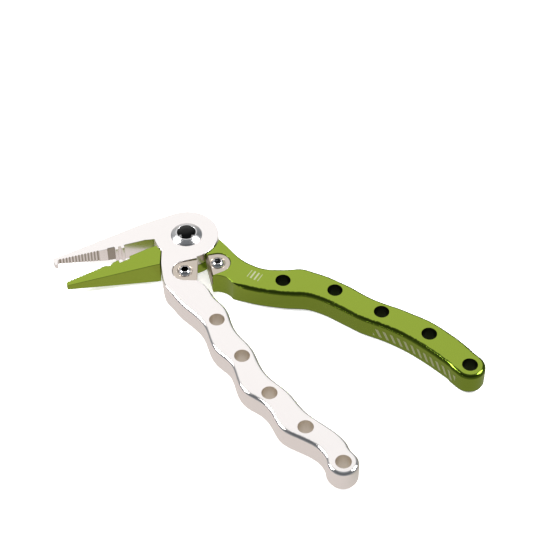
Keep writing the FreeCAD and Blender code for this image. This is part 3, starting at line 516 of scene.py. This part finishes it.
def broken_edges(work):
    """The sharp edges that get a break: all but those of teeth, fine steps and holes."""
    sharp = {
        edge for edge in work.edges
        if len(edge.link_faces) == 2 and edge.calc_face_angle() > SHARP_ANGLE
        and not any(face.material_index for face in edge.link_faces)
    }
    chosen = []
    for edge in sharp:
        ways = []
        for corner in edge.verts:
            here = corner.co - edge.other_vert(corner).co
            others = [other for other in corner.link_edges if other in sharp]
            ways += [
                here.angle(other.other_vert(corner).co - corner.co, 0.0)
                for other in others if other is not edge
            ]
        fine = edge.calc_length() < FINE_LENGTH and max(ways, default=0.0) > TIGHT_TURN
        if not fine:
            chosen.append(edge)
    return chosen


def corner_normals(work):
    """The shading normal of every face corner, in the order of the mesh's loops.

    Faces round a corner's point count where they lie within SMOOTH_ANGLE of the corner's
    own face. Flat faces decide alone where there are any, then upright walls; else each
    face counts by its angle at the point. Roundings so run into flats without a kink.
    """
    normals = []
    for face in work.faces:
        for loop in face.loops:
            near = [
                other for other in loop.vert.link_loops
                if other.face.normal.dot(face.normal) > math.cos(SMOOTH_ANGLE)
            ]
            flat = [other for other in near if abs(other.face.normal.z) > FLAT_RISE]
            wall = [other for other in near if abs(other.face.normal.z) < WALL_RISE]
            deciding = flat or wall or near
            total = Vector()
            for other in deciding:
                total += other.face.normal * other.calc_angle()
            normals.append(total.normalized())
    return normals


def finished(node, body, material, edge_break, bore=None):
    """A merged copy of a CAD node that stands for it, with its sharp edges broken.

    Triangles of one flat face become one face; every edge sharper than SHARP_ANGLE gets a
    rounded break of the given width; curves are shaded smooth. A bore material goes on the
    round holes, whose edges stay crisp.
    """
    mesh = frame["nodes"][node].data.copy()
    work = bmesh.new()
    work.from_mesh(mesh)
    bmesh.ops.remove_doubles(work, verts=work.verts, dist=MERGE_REACH)
    bmesh.ops.dissolve_degenerate(work, dist=MERGE_REACH, edges=work.edges)
    bmesh.ops.dissolve_limit(
        work, angle_limit=FLAT_ANGLE, verts=work.verts, edges=work.edges, delimit=set()
    )
    if bore:
        mark_bores(work)
    bmesh.ops.bevel(
        work, geom=broken_edges(work), offset=edge_break, offset_type="OFFSET",
        segments=BREAK_STEPS, profile=0.5, affect="EDGES", clamp_overlap=False,
        loop_slide=False,
    )
    work.normal_update()
    normals = corner_normals(work)
    mesh.materials.clear()
    work.to_mesh(mesh)
    work.free()
    points = np.empty(3 * len(mesh.vertices), dtype=np.float32)
    mesh.vertices.foreach_get("co", points)
    low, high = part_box(node)
    mesh.vertices.foreach_set("co", np.clip(points.reshape(-1, 3), low, high).ravel())
    mesh.materials.append(material)
    if bore:
        mesh.materials.append(bore)
    mesh.polygons.foreach_set("use_smooth", np.ones(len(mesh.polygons), dtype=bool))
    mesh.normals_split_custom_set(normals)
    piece = bpy.data.objects.new(node + "_finished", mesh)
    bpy.context.scene.collection.objects.link(piece)
    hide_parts(node)
    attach(piece, body)
    return piece


class PLIERS_OT_silver_lever(bpy.types.Operator):
    """Finish the silver lever: clear anodised aluminium with broken edges"""

    bl_idname = "pliers.silver_lever"
    bl_label = "Silver lever"

    def execute(self, context):
        looks = context.scene.pliers_levers
        metal = anodised_aluminium("Clear anodised aluminium", looks.silver, looks.roughness,
                                   looks.silver_painted_shade, looks.silver, SILVER_LINE,
                                   SILVER_SIDE)
        drilled = plain_finish("Drilled clear anodised holes", looks.silver_bore, 1.0, 0.4)
        finished("silver_lever", SILVER_BODY, metal, looks.edge_break, drilled)
        return {"FINISHED"}


class PLIERS_OT_green_lever(bpy.types.Operator):
    """Finish the green lever: lime anodised aluminium with broken edges"""

    bl_idname = "pliers.green_lever"
    bl_label = "Green lever"

    def execute(self, context):
        looks = context.scene.pliers_levers
        metal = anodised_aluminium("Lime anodised aluminium", looks.green, looks.roughness,
                                   looks.green_painted_shade, looks.green_painted_edge_reflection, GREEN_LINE,
                                   GREEN_SIDE, looks.etched)
        # the lime holes' dark colour is painted shade
        drilled = plain_finish("Lime anodised holes, darkened by painted shade", looks.green_bore_painted_shade, 1.0, 0.4)
        finished("green_lever", GREEN_BODY, metal, looks.edge_break, drilled)
        return {"FINISHED"}


class PLIERS_OT_cutters(bpy.types.Operator):
    """Finish the two cutting plates: surface-ground tool steel"""

    bl_idname = "pliers.cutters"
    bl_label = "Cutters"

    def execute(self, context):
        looks = context.scene.pliers_steel
        steel = ground_steel("Ground tool steel", looks.ground, looks.grinding)
        for node, body in (("silver_cutter", SILVER_BODY), ("green_cutter", GREEN_BODY)):
            finished(node, body, steel, looks.edge_break)
        return {"FINISHED"}


class PLIERS_OT_screws(bpy.types.Operator):
    """Finish the cutters' screws: polished stainless steel"""

    bl_idname = "pliers.screws"
    bl_label = "Cutter screws"

    def execute(self, context):
        looks = context.scene.pliers_steel
        # tumbled till bright, so their heads mirror the room
        steel = plain_finish("Polished stainless steel screws", looks.polished, 1.0, 0.12)
        for node, body in (
            ("silver_cutter_screw", SILVER_BODY), ("green_cutter_screw", GREEN_BODY)
        ):
            finished(node, body, steel, looks.edge_break)
        return {"FINISHED"}


class PLIERS_OT_pivot(bpy.types.Operator):
    """Finish the pivot's ring, bolt and nut in steel, and its cap in black"""

    bl_idname = "pliers.pivot"
    bl_label = "Pivot"

    def execute(self, context):
        looks = context.scene.pliers_steel
        # turned and lightly polished, so its reflections are soft at their edges
        steel = plain_finish("Turned stainless steel", looks.polished, 1.0, 0.2)
        for node in ("pivot_ring", "pivot_bolt", "pivot_nut"):
            finished(node, GREEN_BODY, steel, looks.edge_break)
        # a moulded gloss black, with weaker reflections than most plastics
        black = plain_finish("Gloss black ABS", looks.cap, 0.0, 0.1, specular=0.2)
        finished("pivot_cap", GREEN_BODY, black, looks.edge_break)
        return {"FINISHED"}


class PLIERS_OT_inside(bpy.types.Operator):
    """Finish the pieces inside the pivot: bush, washers and return spring"""

    bl_idname = "pliers.inside"
    bl_label = "Inside of the pivot"

    def execute(self, context):
        looks = context.scene.pliers_inside
        # a porous bearing, dull with oil
        bronze = plain_finish("Sintered bronze", looks.bronze, 1.0, 0.35)
        # turned from rod, so waxy and half matt
        acetal = plain_finish("White acetal", looks.acetal, 0.0, 0.45)
        # drawn through a die, so smooth and grey
        wire = plain_finish("Drawn spring steel", looks.wire, 1.0, 0.25)
        nodes = frame["nodes"]
        for node, finish in (
            ("pivot_bush", bronze), ("front_washer", acetal), ("lap_washer", acetal),
            ("return_spring", wire),
        ):
            nodes[node].data.materials.clear()
            nodes[node].data.materials.append(finish)
        return {"FINISHED"}


# ---------------------------------------------------------------------------
# Stage
# ---------------------------------------------------------------------------

def add_soft_box(name, place):
    """A square soft box at a place, facing the target that both share."""
    data = bpy.data.lights.new(name, "AREA")
    data.size = BOX_WIDTH
    data.energy = BOX_WATTS
    light = bpy.data.objects.new(name, data)
    light.location = place
    way = np.array(BOX_TARGET) - np.array(place)
    flat = math.hypot(way[0], way[1])
    light.rotation_euler = (math.atan2(flat, -way[2]), 0, math.atan2(-way[0], way[1]))
    bpy.context.scene.collection.objects.link(light)


def studio_world(white, levels):
    """A dark room with a white panel behind the object, on the +Y side.

    The panel is round: its light follows the angle from its middle direction. The room's
    own light follows the height: walls near the floor and the ceiling above are lighter
    than what lies between. Each level is a height from 0 to 1 and an sRGB code.
    """
    world = bpy.data.worlds.new("Studio")
    world.use_nodes = True
    tree = world.node_tree
    tree.nodes.clear()
    place = add(tree, "ShaderNodeTexCoord")
    toward = add(tree, "ShaderNodeVectorMath", {1: PANEL_WAY},
                 {0: place.outputs["Generated"]}, operation="DOT_PRODUCT")
    panel = add(tree, "ShaderNodeMapRange",
                {"From Min": math.cos(PANEL_EDGE), "From Max": math.cos(PANEL_CORE),
                 "To Min": 0.0, "To Max": 1.0},
                {"Value": toward.outputs["Value"]}, interpolation_type="SMOOTHSTEP")
    height = add(tree, "ShaderNodeSeparateXYZ", links={"Vector": place.outputs["Generated"]})
    room = add(tree, "ShaderNodeValToRGB", links={"Fac": height.outputs["Z"]})
    stops = room.color_ramp.elements
    while len(stops) < len(levels):
        stops.new(1.0)
    for stop, (position, code) in zip(stops, levels):
        stop.position = position
        stop.color = linear(code)
    shade = add(tree, "ShaderNodeMix", {"B": linear(white)},
                {"Factor": panel.outputs["Result"], "A": room.outputs["Color"]},
                data_type="RGBA")
    glow = add(tree, "ShaderNodeBackground", {"Strength": PANEL_POWER},
               {"Color": shade.outputs["Result"]})
    add(tree, "ShaderNodeOutputWorld", links={"Surface": glow.outputs["Background"]})
    return world


def white_floor(code, near, far):
    """Floor paper: even white to look at, and a duller grey in what it lights.

    The grey runs from its lighter code on the left to its darker one on the right.
    """
    material, tree = new_material("Floor paper")
    place = add(tree, "ShaderNodeTexCoord")
    across = add(tree, "ShaderNodeVectorMath", {1: SPILL_WAY}, {0: place.outputs["Object"]},
                 operation="DOT_PRODUCT")
    share = add(tree, "ShaderNodeMapRange",
                {"From Min": SPILL_START, "From Max": SPILL_END},
                {"Value": across.outputs["Value"]}, interpolation_type="SMOOTHSTEP")
    spill = add(tree, "ShaderNodeMix", {"A": linear(near), "B": linear(far)},
                {"Factor": share.outputs["Result"]}, data_type="RGBA")
    seen = add(tree, "ShaderNodeLightPath")
    paper = add(tree, "ShaderNodeBsdfDiffuse", {"Color": linear(code)})
    bright = add(tree, "ShaderNodeEmission", {"Color": linear(code), "Strength": 0.6})
    lit = add(tree, "ShaderNodeAddShader",
              links={0: paper.outputs["BSDF"], 1: bright.outputs["Emission"]})
    dull = add(tree, "ShaderNodeEmission", links={"Color": spill.outputs["Result"]})
    floor = add(tree, "ShaderNodeMixShader",
                links={"Fac": seen.outputs["Is Camera Ray"], 1: dull.outputs["Emission"],
                       2: lit.outputs["Shader"]})
    add(tree, "ShaderNodeOutputMaterial", links={"Surface": floor.outputs["Shader"]})
    return material


class PLIERS_OT_stage(bpy.types.Operator):
    """Set the floor, the lights and the camera"""

    bl_idname = "pliers.stage"
    bl_label = "Stage"

    def execute(self, context):
        looks = context.scene.pliers_stage
        scene = context.scene
        corners = np.array([(-1, -1), (1, -1), (1, 1), (-1, 1)]) * FLOOR_REACH
        rows = np.column_stack([corners, np.full(len(corners), -FLOOR_DROP)])
        mesh = bpy.data.meshes.new("Floor")
        mesh.from_pydata(rows.tolist(), [], [(0, 1, 2, 3)])
        floor = bpy.data.objects.new("Floor", mesh)
        scene.collection.objects.link(floor)
        mesh.materials.append(white_floor(looks.floor, looks.spill_near, looks.spill_far))

        scene.world = studio_world(looks.panel, ROOM_LEVELS)
        for name, side in (("Left soft box", -1), ("Right soft box", 1)):
            add_soft_box(name, (side * BOX_OUT, 0.0, BOX_UP))

        data = bpy.data.cameras.new("Camera")
        data.lens = looks.lens
        data.clip_start = 0.01
        camera = bpy.data.objects.new("Camera", data)
        camera.location = looks.camera_place
        camera.rotation_euler = (looks.camera_tilt, 0, 0)
        scene.collection.objects.link(camera)
        scene.camera = camera
        scene.view_settings.view_transform = "Standard"
        return {"FINISHED"}


PIECES = (
    PLIERS_OT_silver_lever,
    PLIERS_OT_green_lever,
    PLIERS_OT_cutters,
    PLIERS_OT_screws,
    PLIERS_OT_pivot,
    PLIERS_OT_inside,
    PLIERS_OT_stage,
)
GROUPS = {
    "pliers_levers": LeverLooks,
    "pliers_steel": SteelLooks,
    "pliers_inside": InsideLooks,
    "pliers_stage": StageLooks,
}


class PLIERS_PT_panel(bpy.types.Panel):
    """Lists the pieces and their looks"""

    bl_idname = "PLIERS_PT_panel"
    bl_label = "Fishing pliers"
    bl_space_type = "VIEW_3D"
    bl_region_type = "UI"
    bl_category = "Pliers"

    def draw(self, context):
        for group, kind in GROUPS.items():
            box = self.layout.box()
            for name in kind.__annotations__:
                box.prop(getattr(context.scene, group), name)
        for piece in PIECES:
            self.layout.operator(piece.bl_idname)


CLASSES = (*GROUPS.values(), *PIECES, PLIERS_PT_panel)


def register():
    for cls in CLASSES:
        bpy.utils.register_class(cls)
    for name, group in GROUPS.items():
        setattr(bpy.types.Scene, name, PointerProperty(type=group))


def unregister():
    for name in GROUPS:
        delattr(bpy.types.Scene, name)
    for cls in reversed(CLASSES):
        bpy.utils.unregister_class(cls)


def main():
    """Makes every piece and the stage."""
    register()
    for piece in PIECES:
        family, name = piece.bl_idname.split(".")
        getattr(getattr(bpy.ops, family), name)()


if __name__ == "__main__":
    main()
